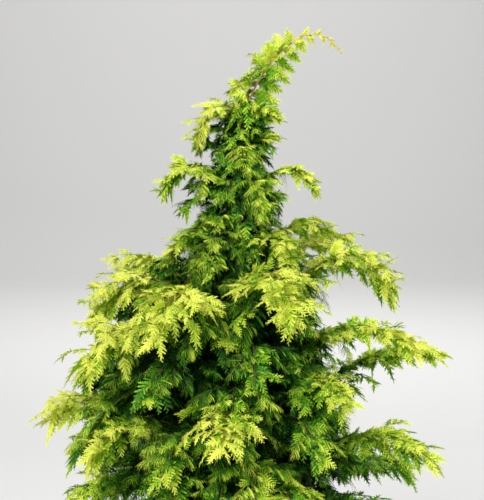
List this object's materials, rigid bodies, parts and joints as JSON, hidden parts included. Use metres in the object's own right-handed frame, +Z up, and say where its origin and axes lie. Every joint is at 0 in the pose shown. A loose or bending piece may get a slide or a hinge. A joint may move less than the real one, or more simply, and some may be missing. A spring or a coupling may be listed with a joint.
{
  "type": "potted conifer",
  "caption": "Small golden conifer with tiers of arching boughs, drooping fern-like sprays and a leader that bends over at its tip, in a plain clay pot.",
  "frame": {"origin": "centre of the pot's flat underside", "axes": "+Z up along the plant, +X towards the side that the leader bends to, -Y towards the front of the plant"},
  "size_m": [0.768, 0.6415, 1.2337],
  "materials": {
    "clay": "matt unglazed clay",
    "soil": "damp bark-based potting mix",
    "bark": "fibrous red-brown bark",
    "foliage": "soft golden green scale leaves"
  },
  "bodies": {
    "root": {"pot": "clay", "soil": "soil", "trunk": "bark", "middle_right_bough": "bark", "middle_right_back_bough": "bark", "middle_back_bough": "bark", "middle_left_back_bough": "bark", "middle_left_bough": "bark", "middle_left_front_bough": "bark", "middle_front_left_bough": "bark", "middle_front_bough": "bark", "middle_right_front_bough": "bark", "lower_right_bough": "bark", "lower_back_right_bough": "bark", "lower_back_left_bough": "bark", "lower_left_bough": "bark", "plume_foliage": "foliage", "crest_left_foliage": "foliage", "crest_right_foliage": "foliage", "top_left_foliage": "foliage", "top_right_foliage": "foliage", "top_back_foliage": "foliage", "neck_right_foliage": "foliage", "neck_front_foliage": "foliage", "upper_left_foliage": "foliage", "upper_right_foliage": "foliage", "upper_front_foliage": "foliage", "upper_back_foliage": "foliage", "column_left_foliage": "foliage", "column_right_foliage": "foliage", "waist_left_foliage": "foliage", "waist_right_foliage": "foliage", "waist_front_foliage": "foliage", "waist_front_right_foliage": "foliage", "waist_back_foliage": "foliage", "middle_right_foliage": "foliage", "middle_right_back_foliage": "foliage", "middle_back_foliage": "foliage", "middle_left_back_foliage": "foliage", "middle_left_foliage": "foliage", "middle_left_front_foliage": "foliage", "middle_front_left_foliage": "foliage", "middle_front_foliage": "foliage", "middle_right_front_foliage": "foliage", "lower_right_foliage": "foliage", "lower_back_right_foliage": "foliage", "lower_back_left_foliage": "foliage", "lower_left_foliage": "foliage", "lower_front_right_foliage": "foliage", "lower_front_left_foliage": "foliage", "lower_front_foliage": "foliage", "low_right_foliage": "foliage", "skirt_left_foliage": "foliage", "skirt_front_left_foliage": "foliage", "skirt_front_foliage": "foliage", "skirt_front_right_foliage": "foliage", "skirt_right_foliage": "foliage", "skirt_back_right_foliage": "foliage", "skirt_back_foliage": "foliage", "skirt_back_left_foliage": "foliage"}
  },
  "joints": []
}
